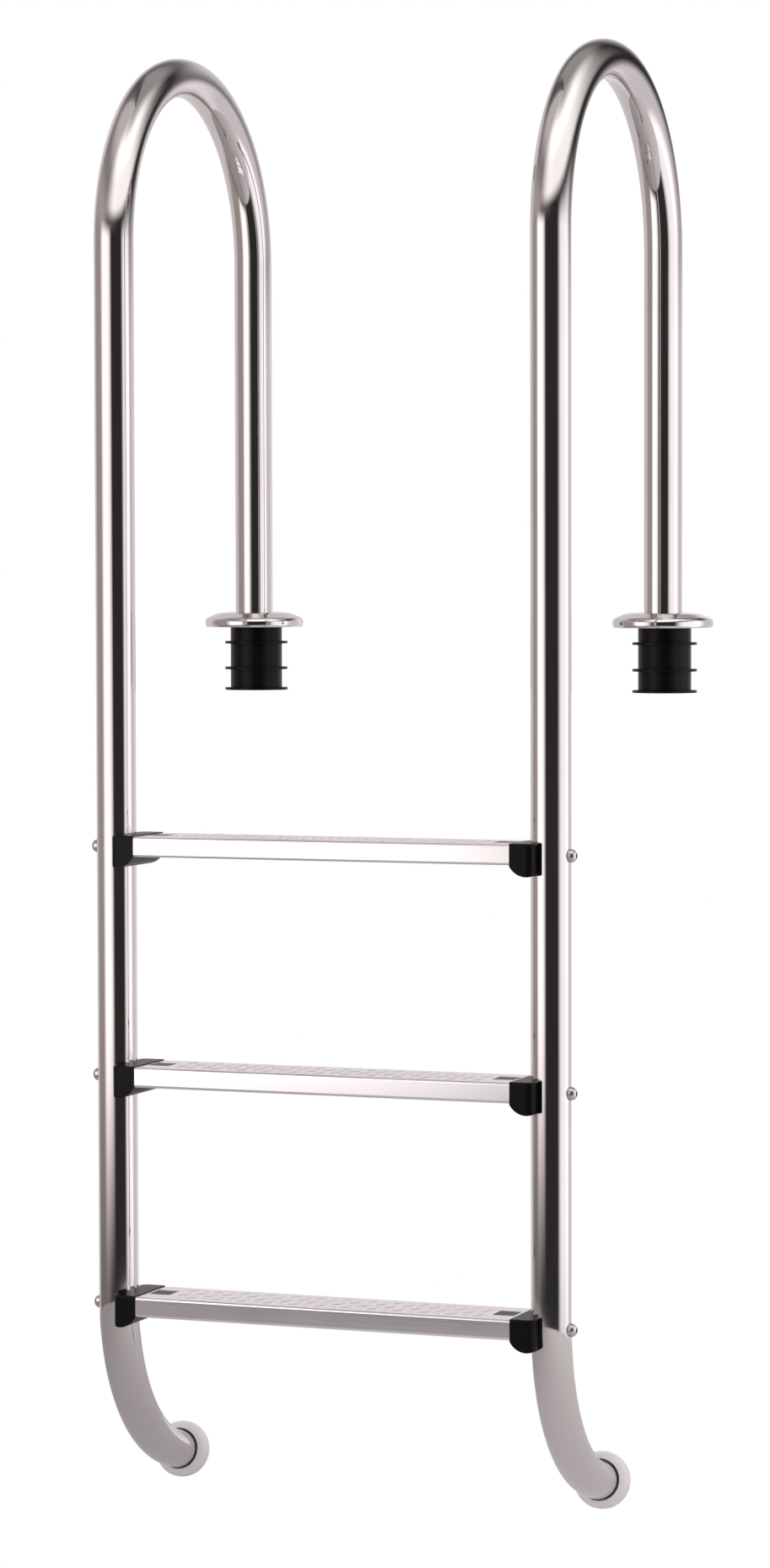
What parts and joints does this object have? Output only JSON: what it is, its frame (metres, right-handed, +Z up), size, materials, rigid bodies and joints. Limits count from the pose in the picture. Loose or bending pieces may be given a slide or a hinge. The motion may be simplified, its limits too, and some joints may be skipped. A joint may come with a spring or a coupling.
{
  "type": "pool ladder",
  "caption": "In-ground pool ladder with arched handrails, stainless treads, deck anchors with flanges, and wall bumpers.",
  "frame": {"origin": "on the deck's surface, midway between the axes of the two anchored legs", "axes": "+Z up; +X along the pool's edge, from the left rail to the right rail as seen from the water; +Y from the pool to the deck"},
  "size_m": [0.614, 0.482, 1.5957],
  "materials": {
    "polished_tube": "mirror-polished stainless steel tube",
    "polished_flange": "mirror-polished pressed stainless sheet",
    "tread_steel": "satin stainless sheet with an embossed anti-slip top",
    "bolt_steel": "plain stainless fasteners",
    "wedge_steel": "cast stainless, unpolished",
    "black_plastic": "black moulded plastic, low sheen",
    "white_plastic": "white moulded soft plastic"
  },
  "bodies": {
    "anchors": {"anchor_body_left": "black_plastic", "anchor_body_right": "black_plastic"},
    "ladder": {"bumper_left": "white_plastic", "bumper_right": "white_plastic", "end_cap_bottom_left": "black_plastic", "end_cap_bottom_right": "black_plastic", "end_cap_middle_left": "black_plastic", "end_cap_middle_right": "black_plastic", "end_cap_top_left": "black_plastic", "end_cap_top_right": "black_plastic", "rail_left": "polished_tube", "rail_right": "polished_tube", "step_bolt_bottom_left": "bolt_steel", "step_bolt_bottom_right": "bolt_steel", "step_bolt_middle_left": "bolt_steel", "step_bolt_middle_right": "bolt_steel", "step_bolt_top_left": "bolt_steel", "step_bolt_top_right": "bolt_steel", "step_nut_bottom_left": "bolt_steel", "step_nut_bottom_right": "bolt_steel", "step_nut_middle_left": "bolt_steel", "step_nut_middle_right": "bolt_steel", "step_nut_top_left": "bolt_steel", "step_nut_top_right": "bolt_steel", "step_washer_bottom_left": "bolt_steel", "step_washer_bottom_right": "bolt_steel", "step_washer_middle_left": "bolt_steel", "step_washer_middle_right": "bolt_steel", "step_washer_top_left": "bolt_steel", "step_washer_top_right": "bolt_steel", "tread_bottom": "tread_steel", "tread_middle": "tread_steel", "tread_top": "tread_steel"},
    "escutcheon_left": {"escutcheon_left": "polished_flange"},
    "wedge_left": {"anchor_wedge_left": "wedge_steel"},
    "wedge_bolt_left": {"wedge_bolt_left": "bolt_steel"},
    "escutcheon_right": {"escutcheon_right": "polished_flange"},
    "wedge_right": {"anchor_wedge_right": "wedge_steel"},
    "wedge_bolt_right": {"wedge_bolt_right": "bolt_steel"}
  },
  "joints": [
    {"name": "ladder_lift", "type": "slide", "parent": "anchors", "child": "ladder", "axis": [0, 0, 1], "range_m": [0, 0.08]},
    {"name": "escutcheon_slide_left", "type": "slide", "parent": "ladder", "child": "escutcheon_left", "axis": [0, 0, 1], "range_m": [0, 0.4]},
    {"name": "wedge_bolt_turn_left", "type": "hinge", "parent": "anchors", "child": "wedge_bolt_left", "pos_m": [-0.25, 0.0268, 0], "axis": [0, 0, 1], "range_deg": [0, 2880]},
    {"name": "wedge_slide_left", "type": "slide", "parent": "anchors", "child": "wedge_left", "axis": [0, 0, -1], "range_m": [0, 0.008]},
    {"name": "escutcheon_slide_right", "type": "slide", "parent": "ladder", "child": "escutcheon_right", "axis": [0, 0, 1], "range_m": [0, 0.4]},
    {"name": "wedge_bolt_turn_right", "type": "hinge", "parent": "anchors", "child": "wedge_bolt_right", "pos_m": [0.25, 0.0268, 0], "axis": [0, 0, 1], "range_deg": [0, 2880]},
    {"name": "wedge_slide_right", "type": "slide", "parent": "anchors", "child": "wedge_right", "axis": [0, 0, -1], "range_m": [0, 0.008]}
  ],
  "couplings": [
    {"joint": "wedge_bolt_turn_left", "follows": "wedge_slide_left", "rad_per_m": 6283.2},
    {"joint": "wedge_bolt_turn_right", "follows": "wedge_slide_right", "rad_per_m": 6283.2}
  ]
}
